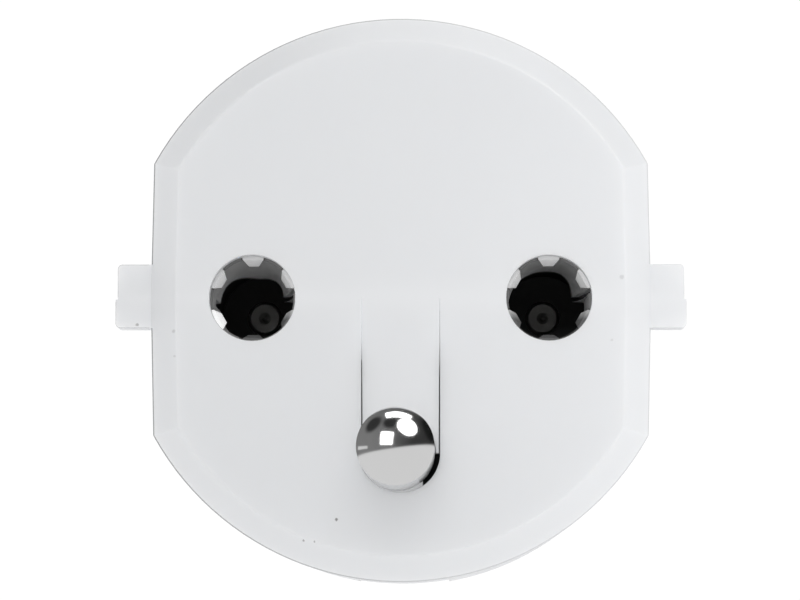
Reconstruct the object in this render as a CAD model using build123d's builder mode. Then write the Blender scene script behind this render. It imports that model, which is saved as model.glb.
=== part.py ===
"""Plug adapter core: a French-type socket in front and a two-pin earthed plug behind.

Millimetres. X runs to the right seen from the socket side, Y runs from the socket face into the body
and Z is up. The origin is on the socket face, midway between the two holes. Two moulded half shells
meet on the plane of the holes and hold the contacts, the plug pins and the earth parts between them."""

import math
import os

from build123d import *

# Body: a circle cut by two flats, which lean in a little away from the parting plane
BODY_RADIUS = 18.15
FLAT_CUT = 2.07
FLAT_DRAFT = 1.2
BODY_DEPTH = 32.0
BODY_CORNER = 0.4
FACE_CHAMFER_WIDTH = 1.65
FACE_CHAMFER_DEPTH = 1.5
REAR_CHAMFER = 1.0
FACE_EDGE_ROUND = 0.25
FACE_WALL = 2.6
REAR_WALL = 2.5
SIDE_WALL = 2.0
PARTITION_GAP = 6.8
PARTITION_WALL = 1.5
RIB = 1.5

# Side lugs on the parting plane, the lower halves a little longer
LUG_DEPTH = 2.5
LUG_CORNER = 0.3
LUG_STAND = 2.13
LUG_STEP = 0.14
UPPER_LUG_HEIGHT = 2.25
LOWER_LUG_HEIGHT = 1.84

# Holes, plug pins and contacts
PIN_PITCH = 19.0
PIN_RADIUS = 2.4
PIN_NECK_CUT = 0.2
PIN_NECK_START = 0.1
PLUG_PIN_LENGTH = 19.0
HOLE_RADIUS = 2.75
LIP = 1.2
BASE_DEPTH = 21.2
SHEET = 0.4
BASE_SHEET = 0.5
BASE_RADIUS = 3.35
FLANGE_RADIUS = 3.4
FLANGE = 1.5
TAIL_RADIUS = 0.95
TAIL_HEAD_RADIUS = 1.15
TAIL_HEAD = 0.6
TAIL_DIMPLE_RADIUS = 0.4
TAIL_DIMPLE = 0.3

# Contact sleeve, rolled from sheet: depth behind the mouth and clear radius at each station
MOUTH_CLEAR = 2.6
NECK_DEPTH = 3.4
NECK_CLEAR = 2.56
THROAT_DEPTH = 8.2
THROAT_CLEAR = 2.5
CHAMBER_DEPTH = 12.8
CHAMBER_CLEAR = 2.9

# Seam of the sleeve, and how far its leaves are pressed in at the throat: (press, middle angle, half angle)
SEAM_ANGLE = 12.0
SEAM_STEP = 5.0
SEAM_GAP = 0.3
SIDE_PRESS = 0.75
TOP_PRESS_LIVE = 0.62
TOP_PRESS_NEUTRAL = 0.15
TOP_PRESS_ANGLE = 88.0
PRESS_HALF_ANGLE = 62.0
NECK_PRESS_SHARE = 0.25
SECTION_POINTS = 24

# Six locating tabs pressed in at the mouth, and the relief slit opposite the seam
TAB_DEPTH = 1.5
TAB_MOUTH_WIDTH = 1.3
TAB_END_WIDTH = 0.75
TAB_MOUTH_CLEAR = 2.52
TAB_END_CLEAR = 2.22
SLIT = 0.5
SLIT_START = 3.4
SLIT_END_GAP = 1.8

# Earth pin with a domed end, off the middle of its slot by its play
EARTH_OFFSET = 9.95
EARTH_SIDE_PLAY = 0.2
EARTH_PIN_LENGTH = 14.0
EARTH_DOME_RADIUS = 2.75
EARTH_FLANGE_RADIUS = 3.2
EARTH_TAIL_RADIUS = 1.5
EARTH_HEAD_RADIUS = 1.9
EARTH_HEAD = 0.6

# Slot of the lower shell and tongue of the upper shell, which holds the earth pin down
SLOT_HALF_WIDTH = 2.52
TONGUE_DEPTH = 13.0
TONGUE_TOP_GAP = 0.03
TONGUE_END_GAP = 0.1

# Earth strap with its two clips, and the sleeve behind the rear earth hole
STRAP_DEPTH = 15.2
STRAP = 0.8
STRAP_WIDTH = 5.8
STRAP_BEND = 1.2
CLIP_SINK = 2.25
CLIP_BULGE = 0.5
CLIP_END_GAP = 1.0
CHANNEL_SIDE_GAP = 0.2
CHANNEL_FLOOR_GAP = 0.1
CHANNEL_FLOOR_WALL = 1.5
SLEEVE_WALL = 0.65
SLEEVE_BORE_RADIUS = 2.5
SLEEVE_SLIT = 0.8
SLEEVE_SLIT_LENGTH = 9.0
SLEEVE_RIB_STAND = 3.0
EARTH_HOLE_RADIUS = 2.9

# Pegs on the lower shell that locate the upper one
PEG_RADIUS = 0.7
PEG_HEIGHT = 2.0
PEG_BOSS_RADIUS = 1.6

# Gaps between pieces
SEAT_GAP = 0.05
CHAMBER_GAP = 0.2
MOUTH_GAP = 0.1

FLAT_HALF_WIDTH = BODY_RADIUS - FLAT_CUT
UPPER_LUG_REACH = FLAT_HALF_WIDTH + LUG_STAND
LOWER_LUG_REACH = UPPER_LUG_REACH + LUG_STEP
REAR_INNER = BODY_DEPTH - REAR_WALL
HOLE_X = PIN_PITCH / 2
NECK_RADIUS = PIN_RADIUS - PIN_NECK_CUT
BASE_BACK = BASE_DEPTH + BASE_SHEET
FLANGE_BACK = BASE_BACK + FLANGE
MOUTH = LIP + MOUTH_GAP
EARTH_FLANGE_FRONT = FACE_WALL + SEAT_GAP
EARTH_FLANGE_BACK = EARTH_FLANGE_FRONT + FLANGE
SLEEVE_RADIUS = SLEEVE_BORE_RADIUS + SLEEVE_WALL
SLEEVE_END_DEPTH = REAR_INNER - CHAMBER_GAP
SLEEVE_RIB_DEPTH = REAR_INNER - SLEEVE_RIB_STAND - RIB
CLIP_HEIGHT = BODY_RADIUS - CLIP_SINK
CLIP_END_DEPTH = BODY_DEPTH - CLIP_END_GAP
CHANNEL_WIDTH = STRAP_WIDTH + 2 * CHANNEL_SIDE_GAP
CHANNEL_FLOOR = CLIP_HEIGHT - STRAP / 2 - CHANNEL_FLOOR_GAP
PEG_X = FLAT_HALF_WIDTH - SIDE_WALL - SEAT_GAP - PEG_RADIUS / 2
PEG_DEPTH = REAR_INNER - PEG_BOSS_RADIUS
PARTITION_X = (PARTITION_GAP + PARTITION_WALL) / 2
SPREAD = 2 * BODY_RADIUS
PAST = 1.0


def depth_plane(depth):
    """The drawing plane at a depth behind the socket face: X to the right and Z up."""
    return Plane.XZ.offset(-depth)


def body_outline(inset=0.0):
    """The outline of the body, drawn in by an inset."""
    draft = math.radians(FLAT_DRAFT)
    lean = FLAT_HALF_WIDTH * math.sin(draft)
    run = lean + math.sqrt(lean**2 + BODY_RADIUS**2 - FLAT_HALF_WIDTH**2)
    corner_x = FLAT_HALF_WIDTH - run * math.sin(draft)
    corner_z = run * math.cos(draft)
    with BuildSketch() as outline:
        with BuildLine():
            Polyline((-corner_x, -corner_z), (-FLAT_HALF_WIDTH, 0), (-corner_x, corner_z))
            ThreePointArc((-corner_x, corner_z), (0, BODY_RADIUS), (corner_x, corner_z))
            Polyline((corner_x, corner_z), (FLAT_HALF_WIDTH, 0), (corner_x, -corner_z))
            ThreePointArc((corner_x, -corner_z), (0, -BODY_RADIUS), (-corner_x, -corner_z))
        make_face()
        if inset:
            offset(amount=-inset, kind=Kind.INTERSECTION)
    return outline.sketch


def turned(points, x, z):
    """A turned piece or bore from its half section, (radius, depth) points, on an axis along Y."""
    with BuildPart() as piece:
        with BuildSketch(Plane.XY.move(Location((x, 0, z)))):
            with BuildLine():
                Polyline(*points, close=True)
            make_face()
        revolve(axis=Axis((x, 0, z), (0, 1, 0)))
    return piece.part


def slot_profile(half_width, end_drop):
    """A U-shaped profile open upwards, with its round end at end_drop below the parting plane."""
    with BuildSketch() as profile:
        with Locations((0, -end_drop / 2)):
            Rectangle(2 * half_width, end_drop)
        with Locations((0, -end_drop)):
            Circle(half_width)
    return profile.sketch


# Bore of each hole: lip, contact chamber, seat of the base and the flange, and way out for the pin
chamber_radius = CHAMBER_CLEAR + SHEET + CHAMBER_GAP
flange_seat_radius = FLANGE_RADIUS + SEAT_GAP
pin_way_radius = PIN_RADIUS + SEAT_GAP
bore_section = [
    (0, -PAST),
    (HOLE_RADIUS, -PAST),
    (HOLE_RADIUS, LIP),
    (chamber_radius, LIP),
    (chamber_radius, BASE_DEPTH),
    (flange_seat_radius, BASE_DEPTH),
    (flange_seat_radius, FLANGE_BACK + SEAT_GAP),
    (pin_way_radius, FLANGE_BACK + SEAT_GAP),
    (pin_way_radius, BODY_DEPTH + PAST),
    (0, BODY_DEPTH + PAST),
]
earth_way_section = [
    (0, -PAST),
    (pin_way_radius, -PAST),
    (pin_way_radius, FACE_WALL),
    (EARTH_FLANGE_RADIUS + SEAT_GAP, FACE_WALL),
    (EARTH_FLANGE_RADIUS + SEAT_GAP, EARTH_FLANGE_BACK + SEAT_GAP),
    (pin_way_radius, EARTH_FLANGE_BACK + SEAT_GAP),
    (pin_way_radius, TONGUE_DEPTH + PAST),
    (0, TONGUE_DEPTH + PAST),
]

# Housing as one hollow moulding, before it is parted into two shells
with BuildPart() as housing:
    with BuildSketch(depth_plane(0)):
        add(body_outline())
    extrude(amount=-BODY_DEPTH)
    face = housing.faces().sort_by(Axis.Y)[0]
    chamfer(face.edges(), FACE_CHAMFER_WIDTH, FACE_CHAMFER_DEPTH, reference=face)
    rear = housing.faces().sort_by(Axis.Y)[-1]
    chamfer(rear.edges(), REAR_CHAMFER)
    side_corners = housing.edges().filter_by(Axis.Y).filter_by(lambda e: abs(e.center().Z) > PAST)
    fillet(side_corners, BODY_CORNER)
    with BuildSketch(depth_plane(FACE_WALL)):
        add(body_outline(SIDE_WALL))
    extrude(amount=-(REAR_INNER - FACE_WALL), mode=Mode.SUBTRACT)
    # Partitions each side of the earth parts
    with BuildSketch(depth_plane(FACE_WALL)):
        with Locations((-PARTITION_X, 0), (PARTITION_X, 0)):
            Rectangle(PARTITION_WALL, SPREAD)
        add(body_outline(SIDE_WALL / 2), mode=Mode.INTERSECT)
    extrude(amount=-(REAR_INNER - FACE_WALL))
    # Saddle ribs for the contacts and the pin flanges
    for rib_depth in (MOUTH + NECK_DEPTH, BASE_DEPTH - RIB, FLANGE_BACK + SEAT_GAP):
        with BuildSketch(depth_plane(rib_depth)):
            add(body_outline(SIDE_WALL / 2))
            Rectangle(PARTITION_GAP, SPREAD, mode=Mode.SUBTRACT)
        extrude(amount=-RIB)
    # Thicker front wall round the two mouths
    with BuildSketch(depth_plane(FACE_WALL)):
        with Locations((-HOLE_X, 0), (HOLE_X, 0)):
            Circle(chamber_radius + RIB)
        add(body_outline(SIDE_WALL / 2), mode=Mode.INTERSECT)
    extrude(amount=-(MOUTH + NECK_DEPTH - FACE_WALL))
    # Saddle ribs for the earth pin and the earth sleeve
    for rib_depth in (EARTH_FLANGE_BACK + SEAT_GAP, TONGUE_DEPTH - RIB, SLEEVE_RIB_DEPTH):
        with BuildSketch(depth_plane(rib_depth)):
            Rectangle(2 * PARTITION_X, SPREAD)
            add(body_outline(SIDE_WALL / 2), mode=Mode.INTERSECT)
        extrude(amount=-RIB)
    # Channels for the earth clips at the top and bottom, each with a floor of its own
    for side in (-1, 1):
        floor_middle = side * (CHANNEL_FLOOR - CHANNEL_FLOOR_WALL / 2)
        with BuildSketch(depth_plane(STRAP_DEPTH + 2 * STRAP)):
            with Locations((0, floor_middle)):
                Rectangle(2 * PARTITION_X, CHANNEL_FLOOR_WALL)
        extrude(amount=-(REAR_INNER - STRAP_DEPTH - 2 * STRAP))
        with BuildSketch(depth_plane(STRAP_DEPTH - SEAT_GAP)):
            with Locations((0, side * (CHANNEL_FLOOR + BODY_RADIUS / 2))):
                Rectangle(CHANNEL_WIDTH, BODY_RADIUS)
        extrude(amount=-BODY_DEPTH, mode=Mode.SUBTRACT)
    for x in (-HOLE_X, HOLE_X):
        add(turned(bore_section, x, 0), mode=Mode.SUBTRACT)


def lug_profile(reach, height, side):
    """Front view of one half of both lugs, above the parting plane (side 1) or below it (side -1)."""
    with BuildSketch() as profile:
        with Locations((0, side * height / 2)):
            Rectangle(2 * reach, height)
        corners = profile.vertices().group_by(Axis.Y)[-1 if side > 0 else 0]
        fillet(corners, LUG_CORNER)
        with Locations((0, side * height / 2)):
            Rectangle(2 * (FLAT_HALF_WIDTH - SIDE_WALL / 2), height, mode=Mode.SUBTRACT)
    return profile.sketch


def face_edges(shell):
    """The edges between the face and its chamfer, without those on the parting plane and round the holes."""

    def on_chamfer(edge):
        box = edge.bounding_box()
        reach = max(abs(box.min.X), abs(box.max.X))
        return box.max.Y < SEAT_GAP and box.size.Z > SEAT_GAP and reach > HOLE_X + HOLE_RADIUS + SEAT_GAP

    return shell.edges().filter_by(on_chamfer)


# Upper shell, with the tongue that fills the slot above the earth pin
tongue_top = SLOT_HALF_WIDTH - TONGUE_TOP_GAP
tongue_end = SLOT_HALF_WIDTH - TONGUE_END_GAP
with BuildPart() as upper_shell:
    add(housing.part)
    split(bisect_by=Plane.XY, keep=Keep.TOP)
    with BuildSketch(depth_plane(FACE_CHAMFER_DEPTH)):
        add(lug_profile(UPPER_LUG_REACH, UPPER_LUG_HEIGHT, 1))
    extrude(amount=-LUG_DEPTH)
    with BuildSketch(depth_plane(0)):
        with BuildLine():
            Polyline(
                (-tongue_top, FACE_WALL),
                (-tongue_top, 0),
                (-tongue_end, -EARTH_OFFSET),
                (tongue_end, -EARTH_OFFSET),
                (tongue_top, 0),
                (tongue_top, FACE_WALL),
                close=True,
            )
        make_face()
    extrude(amount=-TONGUE_DEPTH)
    add(turned(earth_way_section, -EARTH_SIDE_PLAY, -EARTH_OFFSET), mode=Mode.SUBTRACT)
    with BuildSketch(Plane.XY):
        with Locations((-PEG_X, PEG_DEPTH), (PEG_X, PEG_DEPTH)):
            Circle(PEG_BOSS_RADIUS)
    extrude(amount=PEG_HEIGHT + RIB)
    for x in (-HOLE_X, HOLE_X):
        add(turned(bore_section, x, 0), mode=Mode.SUBTRACT)
    with BuildSketch(Plane.XY):
        with Locations((-PEG_X, PEG_DEPTH), (PEG_X, PEG_DEPTH)):
            Circle(PEG_RADIUS + SEAT_GAP)
    extrude(amount=PEG_HEIGHT + SEAT_GAP, mode=Mode.SUBTRACT)
    fillet(face_edges(upper_shell), FACE_EDGE_ROUND)

# Lower shell, with the U-shaped slot for the earth pin and the rear earth hole
with BuildPart() as lower_shell:
    add(housing.part)
    split(bisect_by=Plane.XY, keep=Keep.BOTTOM)
    with BuildSketch(depth_plane(FACE_CHAMFER_DEPTH)):
        add(lug_profile(LOWER_LUG_REACH, LOWER_LUG_HEIGHT, -1))
    extrude(amount=-LUG_DEPTH)
    with BuildSketch(depth_plane(0)):
        add(slot_profile(SLOT_HALF_WIDTH, EARTH_OFFSET))
    extrude(amount=-(TONGUE_DEPTH + RIB), mode=Mode.SUBTRACT)
    add(turned(earth_way_section, -EARTH_SIDE_PLAY, -EARTH_OFFSET), mode=Mode.SUBTRACT)
    with BuildSketch(depth_plane(SLEEVE_RIB_DEPTH)):
        add(slot_profile(SLEEVE_RADIUS + SEAT_GAP, EARTH_OFFSET))
    extrude(amount=-RIB, mode=Mode.SUBTRACT)
    with BuildSketch(depth_plane(REAR_INNER)):
        with Locations((0, -EARTH_OFFSET)):
            Circle(EARTH_HOLE_RADIUS)
    extrude(amount=-REAR_WALL, mode=Mode.SUBTRACT)
    with BuildSketch(Plane.XY):
        with Locations((-PEG_X, PEG_DEPTH), (PEG_X, PEG_DEPTH)):
            Circle(PEG_BOSS_RADIUS)
    extrude(amount=-(PEG_HEIGHT + RIB))
    for x in (-HOLE_X, HOLE_X):
        add(turned(bore_section, x, 0), mode=Mode.SUBTRACT)
    with BuildSketch(Plane.XY):
        with Locations((-PEG_X, PEG_DEPTH), (PEG_X, PEG_DEPTH)):
            Circle(PEG_RADIUS)
    extrude(amount=PEG_HEIGHT)
    fillet(face_edges(lower_shell), FACE_EDGE_ROUND)


def sleeve_section(clear, top_press, share, grow):
    """Section of the sleeve at a clear radius, grown by the sheet, with its leaves pressed in by a share."""
    presses = ((SIDE_PRESS, SEAM_ANGLE), (top_press, TOP_PRESS_ANGLE))
    points = []
    for step in range(SECTION_POINTS + 1):
        angle = SEAM_ANGLE + step * (360 - SEAM_STEP) / SECTION_POINTS
        radius = clear + grow
        for press, middle in presses:
            part_way = min(abs(angle - middle) / PRESS_HALF_ANGLE, 1)
            radius -= share * press * (1 + math.cos(math.pi * part_way)) / 2
        turn = math.radians(angle)
        points.append((radius * math.cos(turn), radius * math.sin(turn)))
    with BuildSketch() as section:
        with BuildLine():
            Spline(*points)
            Line(points[-1], points[0])
        make_face()
    return section.sketch


def lofted_sleeve(top_press, grow):
    """The sleeve's clear space, or its outside where it is grown by the sheet."""
    stations = (
        (MOUTH, MOUTH_CLEAR, 0),
        (MOUTH + NECK_DEPTH, NECK_CLEAR, NECK_PRESS_SHARE),
        (MOUTH + THROAT_DEPTH, THROAT_CLEAR, 1),
        (MOUTH + CHAMBER_DEPTH, CHAMBER_CLEAR, 0),
        (BASE_DEPTH, CHAMBER_CLEAR, 0),
    )
    with BuildPart() as sleeve:
        for depth, clear, share in stations:
            with BuildSketch(depth_plane(depth)):
                add(sleeve_section(clear, top_press, share, grow))
        loft(ruled=True)
    return sleeve.part


def contact(x, top_press):
    """A sleeve rolled from sheet on the axis at x, with its seam to the right and a base for the rivet."""
    with BuildPart() as tab:
        for depth, width, clear in (
            (MOUTH, TAB_MOUTH_WIDTH, TAB_MOUTH_CLEAR),
            (MOUTH + TAB_DEPTH, TAB_END_WIDTH, TAB_END_CLEAR),
        ):
            with BuildSketch(depth_plane(depth)):
                with Locations((0, clear)):
                    Rectangle(width, MOUTH_CLEAR + SHEET / 2 - clear, align=(Align.CENTER, Align.MIN))
        loft(ruled=True)
    with BuildPart() as piece:
        add(lofted_sleeve(top_press, SHEET))
        add(lofted_sleeve(top_press, 0), mode=Mode.SUBTRACT)
        for turn in range(6):
            add(tab.part.rotate(Axis.Y, 60 * turn))
        seam_height = THROAT_CLEAR * math.sin(math.radians(SEAM_ANGLE))
        cut_end = BASE_DEPTH - SLIT_END_GAP
        with BuildSketch(Plane.YZ):
            with Locations((cut_end / 2, seam_height)):
                Rectangle(cut_end, SEAM_GAP)
        extrude(amount=BODY_RADIUS / 2, mode=Mode.SUBTRACT)
        slit_start = MOUTH + SLIT_START
        with BuildSketch(Plane.YZ):
            with Locations(((slit_start + cut_end) / 2, 0)):
                Rectangle(cut_end - slit_start, SLIT)
        extrude(amount=-BODY_RADIUS / 2, mode=Mode.SUBTRACT)
        with BuildSketch(depth_plane(BASE_DEPTH)):
            Circle(BASE_RADIUS)
            Circle(TAIL_RADIUS + SEAT_GAP / 2, mode=Mode.SUBTRACT)
        extrude(amount=-BASE_SHEET)
    return piece.part.moved(Location((x, 0, 0)))


def plug_pin(x):
    """A turned plug pin with a round tip, a flange and a riveted tail with a dimple."""
    tip = BODY_DEPTH + PLUG_PIN_LENGTH
    head = BASE_DEPTH - TAIL_HEAD
    with BuildPart() as piece:
        with BuildSketch(Plane.XY.move(Location((x, 0, 0)))):
            with BuildLine():
                Polyline(
                    (0, tip),
                    (0, head + TAIL_DIMPLE),
                    (TAIL_DIMPLE_RADIUS, head),
                    (TAIL_RADIUS, head),
                    (TAIL_HEAD_RADIUS, BASE_DEPTH - TAIL_HEAD / 2),
                    (TAIL_HEAD_RADIUS, BASE_DEPTH),
                    (TAIL_RADIUS, BASE_DEPTH),
                    (TAIL_RADIUS, BASE_BACK),
                    (FLANGE_RADIUS, BASE_BACK),
                    (FLANGE_RADIUS, FLANGE_BACK),
                    (NECK_RADIUS, FLANGE_BACK),
                    (NECK_RADIUS, BODY_DEPTH + PIN_NECK_START),
                    (PIN_RADIUS, BODY_DEPTH + PIN_NECK_START),
                    (PIN_RADIUS, tip - PIN_RADIUS),
                )
                RadiusArc((PIN_RADIUS, tip - PIN_RADIUS), (0, tip), -PIN_RADIUS)
            make_face()
        revolve(axis=Axis((x, 0, 0), (0, 1, 0)))
    return piece.part


with BuildPart() as live_contact:
    add(contact(-HOLE_X, TOP_PRESS_LIVE))

with BuildPart() as neutral_contact:
    add(contact(HOLE_X, TOP_PRESS_NEUTRAL))

with BuildPart() as live_pin:
    add(plug_pin(-HOLE_X))

with BuildPart() as neutral_pin:
    add(plug_pin(HOLE_X))

# Earth pin with a domed end in front, a flange held by both shells and a tail riveted to the strap
with BuildPart() as earth_pin:
    strap_back = STRAP_DEPTH + STRAP
    dome_edge = EARTH_DOME_RADIUS - math.sqrt(EARTH_DOME_RADIUS**2 - PIN_RADIUS**2) - EARTH_PIN_LENGTH
    with BuildSketch(Plane.XY.move(Location((-EARTH_SIDE_PLAY, 0, -EARTH_OFFSET)))):
        with BuildLine():
            RadiusArc((0, -EARTH_PIN_LENGTH), (PIN_RADIUS, dome_edge), -EARTH_DOME_RADIUS)
            Polyline(
                (PIN_RADIUS, dome_edge),
                (PIN_RADIUS, -PIN_NECK_START),
                (NECK_RADIUS, -PIN_NECK_START),
                (NECK_RADIUS, EARTH_FLANGE_FRONT),
                (EARTH_FLANGE_RADIUS, EARTH_FLANGE_FRONT),
                (EARTH_FLANGE_RADIUS, EARTH_FLANGE_BACK),
                (NECK_RADIUS, EARTH_FLANGE_BACK),
                (NECK_RADIUS, STRAP_DEPTH),
                (EARTH_TAIL_RADIUS, STRAP_DEPTH),
                (EARTH_TAIL_RADIUS, strap_back),
                (EARTH_HEAD_RADIUS, strap_back),
                (EARTH_TAIL_RADIUS, strap_back + EARTH_HEAD),
                (0, strap_back + EARTH_HEAD),
                (0, -EARTH_PIN_LENGTH),
            )
        make_face()
    revolve(axis=Axis((-EARTH_SIDE_PLAY, 0, -EARTH_OFFSET), (0, 1, 0)))

# Earth strap: one strip, up the middle and out along the top and bottom as the two clips
with BuildPart() as earth_strap:
    strap_middle = STRAP_DEPTH + STRAP / 2
    bulge_depth = (strap_middle + CLIP_END_DEPTH) / 2
    with BuildSketch(Plane.YZ):
        with BuildLine():
            FilletPolyline(
                (CLIP_END_DEPTH, CLIP_HEIGHT),
                (bulge_depth, CLIP_HEIGHT + CLIP_BULGE),
                (strap_middle, CLIP_HEIGHT),
                (strap_middle, -CLIP_HEIGHT),
                (bulge_depth, -CLIP_HEIGHT - CLIP_BULGE),
                (CLIP_END_DEPTH, -CLIP_HEIGHT),
                radius=STRAP_BEND,
            )
        trace(line_width=STRAP)
    extrude(amount=STRAP_WIDTH / 2, both=True)
    with BuildSketch(depth_plane(STRAP_DEPTH)):
        with Locations((-EARTH_SIDE_PLAY, -EARTH_OFFSET)):
            Circle(EARTH_TAIL_RADIUS + SEAT_GAP / 2)
    extrude(amount=-STRAP, mode=Mode.SUBTRACT)

# Earth sleeve, brazed on the strap round the rivet head and slit at its open end
with BuildPart() as earth_sleeve:
    sleeve_length = SLEEVE_END_DEPTH - STRAP_DEPTH - STRAP
    with BuildSketch(depth_plane(STRAP_DEPTH + STRAP)):
        with Locations((0, -EARTH_OFFSET)):
            Circle(SLEEVE_RADIUS)
            Circle(SLEEVE_BORE_RADIUS, mode=Mode.SUBTRACT)
    extrude(amount=-sleeve_length)
    with BuildSketch(depth_plane(SLEEVE_END_DEPTH)):
        with Locations((0, -EARTH_OFFSET)):
            Rectangle(2 * (SLEEVE_RADIUS + PAST), SLEEVE_SLIT)
    extrude(amount=SLEEVE_SLIT_LENGTH, mode=Mode.SUBTRACT)

parts = {
    "upper_shell": upper_shell,
    "lower_shell": lower_shell,
    "live_contact": live_contact,
    "neutral_contact": neutral_contact,
    "live_pin": live_pin,
    "neutral_pin": neutral_pin,
    "earth_pin": earth_pin,
    "earth_strap": earth_strap,
    "earth_sleeve": earth_sleeve,
}

os.makedirs("parts", exist_ok=True)
for name, piece in parts.items():
    piece.part.label = name
    export_step(piece.part, f"parts/{name}.step")
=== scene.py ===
"""Looks of the plug adapter core: milky half shells, plated pins and sheet metal contacts.

X runs to the right seen from the socket side, Y from the socket face into the body and Z up. The floor and
the lamps are in metres. The camera and what lies on the object are in millimetres, made metres by MM."""

import math

import bmesh
import bpy
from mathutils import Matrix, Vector

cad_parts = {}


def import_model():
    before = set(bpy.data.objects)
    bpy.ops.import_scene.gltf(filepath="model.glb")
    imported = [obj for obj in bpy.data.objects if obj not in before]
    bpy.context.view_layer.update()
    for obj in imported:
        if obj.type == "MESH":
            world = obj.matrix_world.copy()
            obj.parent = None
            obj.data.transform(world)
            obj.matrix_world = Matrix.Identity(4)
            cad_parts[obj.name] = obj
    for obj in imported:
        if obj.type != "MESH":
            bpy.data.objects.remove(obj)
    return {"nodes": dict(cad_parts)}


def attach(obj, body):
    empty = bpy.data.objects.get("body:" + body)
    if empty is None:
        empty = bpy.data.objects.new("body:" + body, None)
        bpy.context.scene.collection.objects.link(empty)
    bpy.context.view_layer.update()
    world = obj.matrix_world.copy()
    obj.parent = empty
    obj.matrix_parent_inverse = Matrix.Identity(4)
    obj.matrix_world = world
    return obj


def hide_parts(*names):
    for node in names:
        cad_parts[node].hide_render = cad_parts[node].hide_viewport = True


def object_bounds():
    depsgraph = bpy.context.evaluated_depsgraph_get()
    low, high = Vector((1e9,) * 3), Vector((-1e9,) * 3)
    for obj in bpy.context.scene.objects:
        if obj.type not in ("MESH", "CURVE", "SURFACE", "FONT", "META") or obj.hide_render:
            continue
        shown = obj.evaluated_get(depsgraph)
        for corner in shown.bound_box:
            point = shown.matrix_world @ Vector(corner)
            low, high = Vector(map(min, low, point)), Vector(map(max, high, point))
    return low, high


MM = 0.001

# Camera, from the depth of the holes and the place of the ball end in the photograph
CAMERA_PLACE = Vector((3.0, -290.0, -20.2)) * MM
CAMERA_AIM = Vector((-0.04, 0.0, -0.15)) * MM
CLIP_START = 0.01
LENS = 204.6
SENSOR = 36.0

# Floor: half its side, the distances from the origin between which it runs out into white, and its looks
FLOOR_HALF = 0.13
FLOOR_SPAN = (0.05, 0.125)
FLOOR_COLOUR = (0.80, 0.80, 0.81, 1.0)
FLOOR_ROUGHNESS = 0.9

# Lamps: place, point aimed at, width and height, shape, power in watts, and what sees the lamp
LAMPS = {
    "key": ((0.008, -0.27, 0.06), (0, 0, 0), (0.09, 0.09), "SQUARE", 0.11, "matt"),
    "fill": ((0.045, -0.045, 0.0), (0, 0, 0), (0.03, 0.03), "SQUARE", 0.0088, "matt"),
    "window": ((-0.146, -0.349, 0.126), (0, 0, 0), (0.23, 0.23), "SQUARE", 0.45, "reflections"),
    "umbrella": ((0.184, -0.203, 0.290), (0, 0, 0), (0.34, 0.34), "DISK", 1.0, "reflections"),
    "ceiling": ((0.045, -0.009, 0.38), (0.045, 0, 0), (0.33, 0.13), "RECTANGLE", 0.5, "reflections"),
    "gap": ((-0.40, 0.02, -0.020), (0, 0, 0), (0.26, 0.035), "RECTANGLE", 0.015, "reflections"),
}

# Light of the surroundings on matt surfaces: from in front and from the sides, and how much more comes
# from below and from the left. Directions are unit vectors, so the front is at -1 on Y.
TENT_SPAN = (-1.0, 0.0)
TENT_LIGHT = (0.515, 1.04)
TENT_BELOW = 0.12
TENT_LEFT = 0.08

# Surroundings in reflections: a pale table below a tilted horizon and a dark room above it, darker to the
# right and with blotches, each with its direction and radius
TABLE_LIGHT = 0.74
HORIZON = -0.075
HORIZON_SOFT = 0.03
HORIZON_TILT = 0.14
ROOM_SPAN = (-0.9, 0.7)
ROOM_LIGHT = (0.21, 0.03)
BLOTCHES = [((-0.70, -0.03, 0.71), 0.34), ((-0.18, -0.42, 0.89), 0.30), ((0.83, 0.38, 0.40), 0.38)]
BLOTCH_LIGHT = 0.15
BLOTCH_EDGE = (0.6, 1.2)

# Milky plastic: colour, faint clouds in it as scale and detail, and its moulded grain as scale, detail,
# strength and depth in metres
MILKY = (0.80, 0.81, 0.825, 1.0)
CLOUDY = [0.975 * channel for channel in MILKY[:3]] + [1.0]
CLOUDS = (90.0, 3.0)
MILKY_GRAIN = (9000.0, 2.0, 0.06, 0.00005)
MILKY_ROUGHNESS = 0.42
MILKY_IOR = 1.46

# Light that scatters in the plastic, less of it near the plane where the two shells meet
SCATTER = 0.6
SCATTER_SPAN = (0.2, 1.6)
SCATTER_RADIUS = (1.0, 0.98, 0.95)
SCATTER_SCALE = 1.6 * MM

# Painted shade on the plastic's edges, a grey laid on them that stands in for their shade and is stronger to
# the
# left: how much from left to right, cosines of the edge's turn between which the shade starts, how far it
# keeps from the parting plane, and boxes of the edges and of the dark line painted round the face.
# Each box, here and below, is its low and high values on X, Y and Z.
EDGE_SHADE_GREY = (0.26, 0.265, 0.27, 1.0)
EDGE_SHADE_SPAN = (-16.0, 8.0)
EDGE_SHADE_SHARES = (0.9, 0.3)
RIM_WIDTH = 0.08
RIM_SAMPLES = 6
RIM_TURN = (0.995, 0.945)
PARTING_CLEAR = (0.1, 0.2)
EDGE_BOXES = [
    ((-12.6, -6.4), (-1.0, 1.2), (-3.0, 3.0)),
    ((6.4, 12.6), (-1.0, 1.2), (-3.0, 3.0)),
    ((-19.0, -16.2), (1.0, 30.0), (-3.0, 3.0)),
    ((16.2, 19.0), (1.0, 30.0), (-3.0, 3.0)),
]
OUTLINE_BOXES = [
    ((-16.085, 16.085), (1.43, 1.56), (2.25, 19.0)),
    ((-16.085, 16.085), (1.43, 1.56), (-19.0, -1.84)),
]
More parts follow.
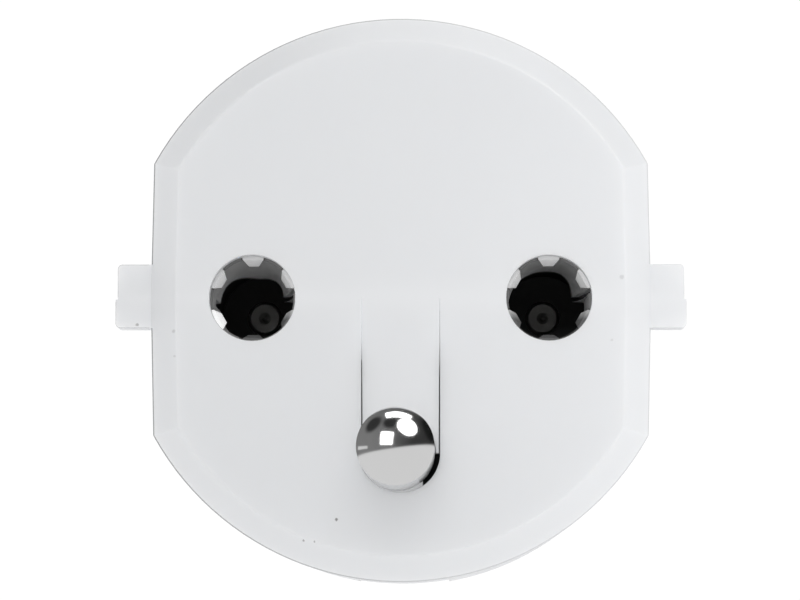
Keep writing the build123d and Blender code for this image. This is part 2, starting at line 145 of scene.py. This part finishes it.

# Painted shade in the slot around the earth pin: a near black laid on its walls and on the pin there, also
# used for painted shade on the contacts; and painted light, a glow at the slot's top and on the pin in its
# seat
PAINTED_SHADOW = (0.03, 0.03, 0.03, 1.0)
SLOT_SIDES_BOX = ((-2.8, 2.8), (0.35, 14.6), (-9.9, -3.9))
SLOT_END_BOX = ((1.4, 2.8), (0.1, 14.6), (-12.9, -9.9))
SLOT_TOP_BOX = ((-2.8, 2.8), (0.04, 14.6), (-4.4, 1.5))
SLOT_TOP_SPAN = (-4.4, -2.4)
SLOT_TOP_PAINTED_GLOW = 0.18
SLOT_SEAT_BOX = ((-2.8, 1.4), (0.0, 3.0), (-13.2, -9.9))
SLOT_SEAT_PAINTED_GLOW = 0.24

# Specks of dirt on the plastic: how uneven and soft they are, then place on X and Z, radius and depth of
# tone of each
DIRT = (0.12, 0.11, 0.10, 1.0)
SPECK_NOISE = 9000.0
SPECK_WOBBLE = 0.12
SPECK_EDGE = (1.2, 0.5)
SPECKS = [
    (-4.03, -14.11, 0.11, 0.7),
    (-6.14, -15.45, 0.08, 0.6),
    (-5.44, -15.52, 0.07, 0.5),
    (-16.89, -1.57, 0.11, 0.5),
    (-14.46, -2.08, 0.13, 0.25),
    (-14.40, -3.68, 0.09, 0.2),
    (14.20, 1.38, 0.16, 0.2),
    (13.56, -2.66, 0.10, 0.15),
]

# Metals: colours, and finishes as roughness, scale of the drawn grain and its strength
PLATED = (0.80, 0.80, 0.80, 1.0)
PLATED_FINISH = (0.11, 4000.0, 0.03)
TAIL = (0.60, 0.60, 0.58, 1.0)
TAIL_FINISH = (0.5, 4000.0, 0.2)
STRAP = (0.66, 0.62, 0.54, 1.0)
STRAP_FINISH = (0.28, 5000.0, 0.2)
SHEET_FINISH = (0.5, 5000.0, 0.2)
SHEET_METALLIC = 0.1
GRAIN_DETAIL = 3.0
GRAIN_DEPTH = 0.00002
SMUDGES = (350.0, 4.0)
SMUDGE_SHARES = (0.8, 1.3)

# Contact sheet: painted light and shade by depth, a grey from the socket face down to a depth, dark at the
# mouth, near white on the leaves and nearly black deep inside, as shares of that depth and tones
SHEET_SHADE_DEPTH = 22.0
SHEET_SHADE_TONES = [(0.0, 0.16), (0.07, 0.18), (0.075, 0.42), (0.40, 0.95), (0.44, 0.03), (1.0, 0.01)]

# Tabs at the mouth of each contact: radius where they stand, first and last depth, half width at each,
# the width of the painted shade line at their sides, and the depth of their cut front
TABS = 6
TAB_RADIUS = 2.4
TAB_DEPTHS = (1.25, 2.85)
TAB_HALF_WIDTHS = (0.66, 0.38)
TAB_SHADE_LINE = 0.04
TAB_CUT_DEPTH = 1.31

# Painted light and shade on the tabs and contacts: a near white for the tabs' painted sheen, the colour of
# their cut front, the strength of their painted glint, the share and span on Z of painted shade on the lower
# parts, the edge on X left of which nothing is shaded, and the box of the tab with a painted highlight with
# how much more it glows
TAB_PAINTED_SHINE = (0.97, 0.97, 0.97, 1.0)
TAB_CUT = (0.66, 0.66, 0.66, 1.0)
TAB_PAINTED_GLINT = 0.11
TAB_PAINTED_SHADE = 0.12
TAB_DIM_SPAN = (-1.3, -0.4)
BRIGHT_EDGE = -10.4
BRIGHTEST_BOX = ((-12.5, -10.4), (1.0, 3.0), (-2.6, -0.4))
BRIGHTEST_PAINTED_GLINT = 3.0

# Pins: the axes on X and Z, the tips and round ends, and the depths of the dull riveted tails
HOLE_X = 9.5
EARTH_AXIS = (-0.2, -9.95)
PIN_RADIUS = 2.4
NECK_RADIUS = 2.2
PLUG_TIP = 51.0
EARTH_TIP = -14.0
EARTH_DOME_RADIUS = 2.75
TAIL_DEPTHS = (20.5, 21.8)
TURN_STEPS = 144
DOME_STEPS = 28
SHARP_ANGLE = 20.0

# Half sections of the pins behind their round ends, as radius and depth: neck, flange and riveted tail
PLUG_PIN = [
    (PIN_RADIUS, 32.1),
    (NECK_RADIUS, 32.1),
    (NECK_RADIUS, 23.2),
    (3.4, 23.2),
    (3.4, 21.7),
    (0.95, 21.7),
    (0.95, 21.2),
    (1.15, 21.2),
    (1.15, 20.9),
    (1.1, 20.72),
    (0.95, 20.6),
    (0.4, 20.6),
    (0.2, 20.68),
    (0.0, 20.9),
]
EARTH_PIN = [
    (PIN_RADIUS, -0.1),
    (NECK_RADIUS, -0.1),
    (NECK_RADIUS, 2.65),
    (3.2, 2.65),
    (3.2, 4.15),
    (NECK_RADIUS, 4.15),
    (NECK_RADIUS, 15.2),
    (1.5, 15.2),
    (1.5, 16.0),
    (1.9, 16.0),
    (1.5, 16.6),
    (0.0, 16.6),
]


def metres(*lengths):
    """Millimetres as metres."""
    return [length * MM for length in lengths]


def feed(tree, socket, value):
    """Links another node's output to an input, or sets the input to a number, vector or colour."""
    if isinstance(value, bpy.types.NodeSocket):
        tree.links.new(value, socket)
    else:
        socket.default_value = value


def put(tree, made, **values):
    """Sets a node's properties by name, and feeds its inputs by name with _ for a space."""
    for name, value in values.items():
        if hasattr(made, name):
            setattr(made, name, value)
        else:
            feed(tree, made.inputs[name.replace("_", " ")], value)


def node(tree, kind, **values):
    """A new shader node with its properties and inputs."""
    made = tree.nodes.new(kind)
    put(tree, made, **values)
    return made


def outcome(tree, made, values, name):
    """One output of a node, whose inputs are fed in their order."""
    for socket, value in zip(made.inputs, values):
        feed(tree, socket, value)
    return made.outputs[name]


def maths(tree, operation, *values):
    """The number that a maths node makes."""
    return outcome(tree, node(tree, "ShaderNodeMath", operation=operation), values, "Value")


def moved(tree, operation, *vectors):
    """The vector that a vector maths node makes."""
    return outcome(tree, node(tree, "ShaderNodeVectorMath", operation=operation), vectors, "Vector")


def measured(tree, operation, *vectors):
    """The number that a vector maths node makes, such as a distance."""
    return outcome(tree, node(tree, "ShaderNodeVectorMath", operation=operation), vectors, "Value")


def ramp(tree, value, span, ends=(0.0, 1.0), smooth=False):
    """A number that goes from one end to the other while a value goes through a span."""
    made = node(tree, "ShaderNodeMapRange", interpolation_type="SMOOTHSTEP" if smooth else "LINEAR")
    put(tree, made, Value=value, From_Min=span[0], From_Max=span[1], To_Min=ends[0], To_Max=ends[1])
    return made.outputs["Result"]


def blend(tree, share, one, other, kind="RGBA"):
    """A colour or number between two, the second one where the share is 1."""
    made = node(tree, "ShaderNodeMix", data_type=kind)
    put(tree, made, Factor=share, A=one, B=other)
    return made.outputs["Result"]


def surface_blend(tree, share, one, other):
    """A surface between two, the second one where the share is 1."""
    return outcome(tree, node(tree, "ShaderNodeMixShader"), (share, one, other), "Shader")


def noise(tree, place, scale, detail):
    """Uneven values between 0 and 1 over the object."""
    return node(tree, "ShaderNodeTexNoise", Vector=place, Scale=scale, Detail=detail).outputs["Fac"]


def grained(tree, place, scale, detail, strength, depth):
    """The normal of a surface with fine grain."""
    grain = noise(tree, place, scale, detail)
    bump = node(tree, "ShaderNodeBump", Height=grain, Strength=strength, Distance=depth)
    return bump.outputs["Normal"]


def place_of(tree, kind="Object"):
    """The place of a point in the frame or, by another kind of coordinate, its direction."""
    return node(tree, "ShaderNodeTexCoord").outputs[kind]


def split(tree, place):
    """The three values of a place or direction."""
    return list(node(tree, "ShaderNodeSeparateXYZ", Vector=place).outputs)


def joined(tree, masks, operation):
    """One mask from several, by a maths operation."""
    mask = masks[0]
    for other in masks[1:]:
        mask = maths(tree, operation, mask, other)
    return mask


def within(tree, values, *boxes):
    """A mask of boxes on the object, from the three values of the place."""
    masks = []
    for box in boxes:
        sides = []
        for value, (low, high) in zip(values, box):
            middle, half = metres((low + high) / 2, (high - low) / 2)
            sides.append(maths(tree, "COMPARE", value, middle, half))
        masks.append(joined(tree, sides, "MULTIPLY"))
    return joined(tree, masks, "MAXIMUM")


def new_material(name):
    """An empty node material with a Principled shader: (material, tree, shader)."""
    material = bpy.data.materials.new(name)
    material.use_nodes = True
    tree = material.node_tree
    shader = tree.nodes["Principled BSDF"]
    return material, tree, shader


def paint(name, material):
    """Gives a CAD node its material."""
    mesh = frame["nodes"][name].data
    mesh.materials.clear()
    mesh.materials.append(material)


def dome(sphere, tip, runs):
    """Half section of a pin's round end, from its tip on the axis to the pin's radius.

    From the tip the pin runs along Y, upwards in depth for 1 and downwards for -1."""
    end = math.asin(PIN_RADIUS / sphere)
    angles = [end * k / DOME_STEPS for k in range(DOME_STEPS + 1)]
    return [(sphere * math.sin(a), tip + runs * sphere * (1 - math.cos(a))) for a in angles]


def turned(name, x, z, section, materials):
    """A turned piece about an axis along Y from its half section, smooth with sharp rims.

    A second material is for its riveted tail."""
    made = bmesh.new()
    rings = []
    for radius, depth in section:
        steps = TURN_STEPS if radius else 1
        turns = [2 * math.pi * k / TURN_STEPS for k in range(steps)]
        places = [(x + radius * math.cos(t), depth, z + radius * math.sin(t)) for t in turns]
        rings.append([made.verts.new(Vector(place) * MM) for place in places])
    for one, other in zip(rings, rings[1:]):
        for k in range(TURN_STEPS):
            last = (k + 1) % TURN_STEPS
            if len(one) == 1:
                made.faces.new((one[0], other[k], other[last]))
            elif len(other) == 1:
                made.faces.new((one[k], other[0], one[last]))
            else:
                made.faces.new((one[k], other[k], other[last], one[last]))
    bmesh.ops.recalc_face_normals(made, faces=made.faces)
    mesh = bpy.data.meshes.new(name)
    made.to_mesh(mesh)
    made.free()
    mesh.shade_smooth()
    mesh.set_sharp_from_angle(angle=math.radians(SHARP_ANGLE))
    for material in materials:
        mesh.materials.append(material)
    for side in mesh.polygons:
        side.material_index = int(TAIL_DEPTHS[0] * MM < side.center.y < TAIL_DEPTHS[1] * MM)
    piece = bpy.data.objects.new(name + "_turned", mesh)
    bpy.context.collection.objects.link(piece)
    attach(piece, "root")
    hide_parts(name)


def camera():
    """The camera at the photograph's viewing angle."""
    data = bpy.data.cameras.new("camera")
    data.lens = LENS
    data.sensor_width = SENSOR
    data.clip_start = CLIP_START
    made = bpy.data.objects.new("camera", data)
    made.location = CAMERA_PLACE
    made.rotation_euler = (CAMERA_AIM - CAMERA_PLACE).to_track_quat("-Z", "Y").to_euler()
    bpy.context.collection.objects.link(made)
    bpy.context.scene.camera = made


def floor_material():
    """Pale floor that keeps the shadow near the object, runs out into white and is clear from below."""
    material, tree, shader = new_material("floor")
    put(tree, shader, Base_Color=FLOOR_COLOUR, Roughness=FLOOR_ROUGHNESS)
    white = node(tree, "ShaderNodeEmission", Strength=1.0)
    clear = node(tree, "ShaderNodeBsdfTransparent")
    geometry = node(tree, "ShaderNodeNewGeometry")
    away = measured(tree, "LENGTH", geometry.outputs["Position"])
    far = ramp(tree, away, FLOOR_SPAN)
    above = surface_blend(tree, far, shader.outputs["BSDF"], white.outputs["Emission"])
    seen = surface_blend(tree, geometry.outputs["Backfacing"], above, clear.outputs["BSDF"])
    put(tree, tree.nodes["Material Output"], Surface=seen)
    return material


def floor(low):
    """A pale floor under the object, seen by the camera only."""
    mesh = bpy.data.meshes.new("floor")
    half = FLOOR_HALF
    corners = [(-half, -half, low), (half, -half, low), (half, half, low), (-half, half, low)]
    mesh.from_pydata(corners, [], [(0, 1, 2, 3)])
    mesh.materials.append(floor_material())
    made = bpy.data.objects.new("floor", mesh)
    made.visible_diffuse = False
    made.visible_glossy = False
    made.visible_shadow = False
    bpy.context.collection.objects.link(made)
    return made


def lamp(name, place, aim, size, shape, power, seen):
    """A soft lamp, seen by matt surfaces or by reflections."""
    data = bpy.data.lights.new(name, "AREA")
    data.shape = shape
    data.size, data.size_y = size
    data.energy = power
    made = bpy.data.objects.new(name, data)
    made.location = place
    made.rotation_euler = (Vector(aim) - Vector(place)).to_track_quat("-Z", "Y").to_euler()
    made.visible_camera = False
    made.visible_diffuse = seen == "matt"
    made.visible_glossy = seen == "reflections"
    bpy.context.collection.objects.link(made)
    return made


def keep_off(made, ground):
    """Keeps a lamp from throwing shadows and from lighting the floor."""
    made.data.use_shadow = False
    unlit = bpy.data.collections.new("unlit")
    unlit.objects.link(ground)
    unlit.collection_objects[0].light_linking.link_state = "EXCLUDE"
    made.light_linking.receiver_collection = unlit


def tent(tree, x, y, z):
    """Even light on matt surfaces, by direction."""
    light = ramp(tree, y, TENT_SPAN, TENT_LIGHT)
    light = maths(tree, "MULTIPLY_ADD", z, -TENT_BELOW, light)
    return maths(tree, "MULTIPLY_ADD", x, -TENT_LEFT, light)


def mirrored(tree, direction, x, z):
    """What reflections show: the table below the tilted horizon and the dark uneven room above it."""
    room = ramp(tree, x, ROOM_SPAN, ROOM_LIGHT)
    for middle, radius in BLOTCHES:
        away = measured(tree, "DISTANCE", direction, middle)
        edge = [share * radius for share in BLOTCH_EDGE]
        dimming = ramp(tree, away, edge, (BLOTCH_LIGHT, 1.0), smooth=True)
        room = maths(tree, "MULTIPLY", room, dimming)
    height = maths(tree, "MULTIPLY_ADD", x, -HORIZON_TILT, z)
    above = ramp(tree, height, (HORIZON - HORIZON_SOFT, HORIZON + HORIZON_SOFT))
    return blend(tree, above, TABLE_LIGHT, room, "FLOAT")


def world():
    """Surroundings: white to the camera, even light to matt surfaces, a table and a room in reflections."""
    made = bpy.data.worlds.new("world")
    bpy.context.scene.world = made
    made.use_nodes = True
    tree = made.node_tree
    direction = place_of(tree, "Generated")
    x, y, z = split(tree, direction)
    ray = node(tree, "ShaderNodeLightPath").outputs
    matt = tent(tree, x, y, z)
    glossy = mirrored(tree, direction, x, z)
    light = blend(tree, ray["Is Glossy Ray"], matt, glossy, "FLOAT")
    seen = maths(tree, "MAXIMUM", light, ray["Is Camera Ray"])
    put(tree, tree.nodes["Background"], Color=(1, 1, 1, 1), Strength=seen)


def spots(tree, place):
    """A mask of the small dirt specks, placed as seen from the front and the same at any depth."""
    wobble = node(tree, "ShaderNodeTexNoise", Vector=place, Scale=SPECK_NOISE)
    shifted = moved(tree, "MULTIPLY_ADD", wobble.outputs["Color"], metres(SPECK_WOBBLE) * 3, place)
    flat = moved(tree, "MULTIPLY", shifted, (1.0, 0.0, 1.0))
    masks = []
    for x, z, radius, depth in SPECKS:
        away = measured(tree, "DISTANCE", flat, metres(x, 0.0, z))
        edge = [share * radius * MM for share in SPECK_EDGE]
        masks.append(ramp(tree, away, edge, (0.0, depth), smooth=True))
    return joined(tree, masks, "MAXIMUM")


def rims(tree, values):
    """A mask of painted shade on the outer edges, without those where the two shells meet, and on the line
    round the face.
    """
    rounded = node(tree, "ShaderNodeBevel", samples=RIM_SAMPLES, Radius=RIM_WIDTH * MM)
    geometry = node(tree, "ShaderNodeNewGeometry")
    facing = measured(tree, "DOT_PRODUCT", rounded.outputs["Normal"], geometry.outputs["True Normal"])
    edge_shade = ramp(tree, facing, RIM_TURN)
    clear = ramp(tree, maths(tree, "ABSOLUTE", values[2]), metres(*PARTING_CLEAR))
    edges = joined(tree, [edge_shade, clear, within(tree, values, *EDGE_BOXES)], "MULTIPLY")
    return maths(tree, "MAXIMUM", edges, within(tree, values, *OUTLINE_BOXES))


def milky_colour(tree, place, values):
    """Milky with faint clouds, then painted shade on the edges and in the earth pin's slot, and the specks
    of dirt over it.
    """
    # Painted shade: a grey laid on the edges, more of it to the left
    share = ramp(tree, values[0], metres(*EDGE_SHADE_SPAN), EDGE_SHADE_SHARES)
    edge_shade = maths(tree, "MULTIPLY", rims(tree, values), share)
    colour = blend(tree, noise(tree, place, *CLOUDS), MILKY, CLOUDY)
    colour = blend(tree, edge_shade, colour, EDGE_SHADE_GREY)
    # Painted shade: near black on the walls of the earth pin's slot
    colour = blend(tree, within(tree, values, SLOT_SIDES_BOX, SLOT_END_BOX), colour, PAINTED_SHADOW)
    return blend(tree, spots(tree, place), colour, DIRT)


def milky_plastic():
    """Satin milky plastic: fine moulded grain, a faint cloudiness, specks of dirt, painted shade on edges
    and slot, a painted glow.
    """
    material, tree, shader = new_material("milky_plastic")
    place = place_of(tree)
    values = split(tree, place)
    height = values[2]
    # Painted light: a glow on the plastic at the top of the earth pin's slot
    top = ramp(tree, height, metres(*SLOT_TOP_SPAN), (0.0, SLOT_TOP_PAINTED_GLOW))
    glow = maths(tree, "MULTIPLY", within(tree, values, SLOT_TOP_BOX), top)
    scatter = ramp(tree, maths(tree, "ABSOLUTE", height), metres(*SCATTER_SPAN), (0.0, SCATTER))
    colour = milky_colour(tree, place, values)
    normal = grained(tree, place, *MILKY_GRAIN)
    put(tree, shader, Base_Color=colour, Normal=normal)
    put(tree, shader, Roughness=MILKY_ROUGHNESS, IOR=MILKY_IOR, Subsurface_Weight=scatter)
    put(tree, shader, Subsurface_Radius=SCATTER_RADIUS, Subsurface_Scale=SCATTER_SCALE)
    put(tree, shader, Emission_Color=MILKY, Emission_Strength=glow)
    return material


def metal(name, colour, roughness, grain_scale, grain_strength):
    """Metal with fine drawn grain and slightly uneven polish: (material, tree, shader)."""
    material, tree, shader = new_material(name)
    place = place_of(tree)
    polish = [share * roughness for share in SMUDGE_SHARES]
    uneven = ramp(tree, noise(tree, place, *SMUDGES), (0.0, 1.0), polish)
    normal = grained(tree, place, grain_scale, GRAIN_DETAIL, grain_strength, GRAIN_DEPTH)
    put(tree, shader, Base_Color=colour, Metallic=1.0, Roughness=uneven, Normal=normal)
    return material, tree, shader


def plated_pin():
    """Polished plated metal, with painted shade where the earth pin stands in its slot and a painted glow in
    its seat.
    """
    material, tree, shader = metal("plated_pin", PLATED, *PLATED_FINISH)
    values = split(tree, place_of(tree))
    # Painted shade on the pin in its slot, and a painted glow on it in its seat
    colour = blend(tree, within(tree, values, SLOT_END_BOX), PLATED, PAINTED_SHADOW)
    glow = maths(tree, "MULTIPLY", within(tree, values, SLOT_SEAT_BOX), SLOT_SEAT_PAINTED_GLOW)
    put(tree, shader, Base_Color=colour, Emission_Color=MILKY, Emission_Strength=glow)
    return material


def sheet_depth_shade(tree, depth):
    """Painted light and shade on the contact sheet: its grey by depth behind the socket face."""
    shade = node(tree, "ShaderNodeValToRGB", Fac=ramp(tree, depth, metres(0.0, SHEET_SHADE_DEPTH)))
    stops = shade.color_ramp.elements
    for share, grey in SHEET_SHADE_TONES:
        stop = {0.0: stops[0], 1.0: stops[-1]}.get(share) or stops.new(share)
        stop.color = (grey, grey, grey, 1.0)
    return shade.outputs["Color"]


def tab_masks(tree, x, y, z):
    """Masks of the tabs in both holes and of painted shade along their sides."""
    half_pitch = math.pi / TABS
    across = maths(tree, "SUBTRACT", maths(tree, "ABSOLUTE", x), HOLE_X * MM)
    turn = maths(tree, "ARCTAN2", z, across)
    from_gap = maths(tree, "PINGPONG", turn, half_pitch)
    from_middle = maths(tree, "SUBTRACT", half_pitch, from_gap)
    length = maths(tree, "MULTIPLY", from_middle, TAB_RADIUS * MM)
    width = ramp(tree, y, metres(*TAB_DEPTHS), metres(*TAB_HALF_WIDTHS))
    near = maths(tree, "LESS_THAN", y, TAB_DEPTHS[1] * MM)
    tabs = maths(tree, "MULTIPLY", maths(tree, "LESS_THAN", length, width), near)
    lines = maths(tree, "MULTIPLY", maths(tree, "COMPARE", length, width, TAB_SHADE_LINE * MM), near)
    return tabs, lines


def contact_sheet():
    """Satin sheet metal with painted light and shade by depth, a painted sheen and glint on its pressed
    tabs, and painted shade below and at the tabs' sides.
    """
    material, tree, shader = metal("contact_sheet", TAB_PAINTED_SHINE, *SHEET_FINISH)
    values = split(tree, place_of(tree))
    x, y, z = values
    tabs, lines = tab_masks(tree, x, y, z)
    # Painted shade: the lower parts of the contacts are dimmed, but nothing left of the edge on X
    upper = ramp(tree, z, metres(*TAB_DIM_SPAN), (TAB_PAINTED_SHADE, 1.0))
    light = maths(tree, "MAXIMUM", upper, maths(tree, "LESS_THAN", x, BRIGHT_EDGE * MM))
    # Painted sheen: the tabs are near white, greyer at their cut front
    tab = blend(tree, maths(tree, "LESS_THAN", y, TAB_CUT_DEPTH * MM), TAB_PAINTED_SHINE, TAB_CUT)
    colour = blend(tree, tabs, sheet_depth_shade(tree, y), tab)
    # Painted shade along the tabs' sides and on the dimmed lower parts
    colour = blend(tree, lines, colour, PAINTED_SHADOW)
    colour = blend(tree, light, PAINTED_SHADOW, colour)
    # Painted highlight: the tabs glow, the one in the box much more
    bright = maths(tree, "MULTIPLY_ADD", within(tree, values, BRIGHTEST_BOX), BRIGHTEST_PAINTED_GLINT, light)
    glint = joined(tree, [tabs, bright, TAB_PAINTED_GLINT], "MULTIPLY")
    put(tree, shader, Base_Color=colour, Metallic=SHEET_METALLIC)
    put(tree, shader, Emission_Color=TAB_PAINTED_SHINE, Emission_Strength=glint)
    return material


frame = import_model()
cad_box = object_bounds()

camera()
ground = floor(cad_box[0][2])
world()
lamps = {name: lamp(name, *values) for name, values in LAMPS.items()}
keep_off(lamps["fill"], ground)

plastic = milky_plastic()
pin_metal = plated_pin()
tail_metal, _, _ = metal("riveted_tail", TAIL, *TAIL_FINISH)
strap_metal, _, _ = metal("strap_metal", STRAP, *STRAP_FINISH)
sheet_metal = contact_sheet()
for name in ("upper_shell", "lower_shell"):
    paint(name, plastic)
for name in ("live_contact", "neutral_contact"):
    paint(name, sheet_metal)
for name in ("earth_strap", "earth_sleeve"):
    paint(name, strap_metal)

plug_section = dome(PIN_RADIUS, PLUG_TIP, runs=-1) + PLUG_PIN
earth_section = dome(EARTH_DOME_RADIUS, EARTH_TIP, runs=1) + EARTH_PIN
turned("live_pin", -HOLE_X, 0, plug_section, (pin_metal, tail_metal))
turned("neutral_pin", HOLE_X, 0, plug_section, (pin_metal, tail_metal))
turned("earth_pin", *EARTH_AXIS, earth_section, (pin_metal,))

bpy.context.scene.view_settings.view_transform = "Standard"
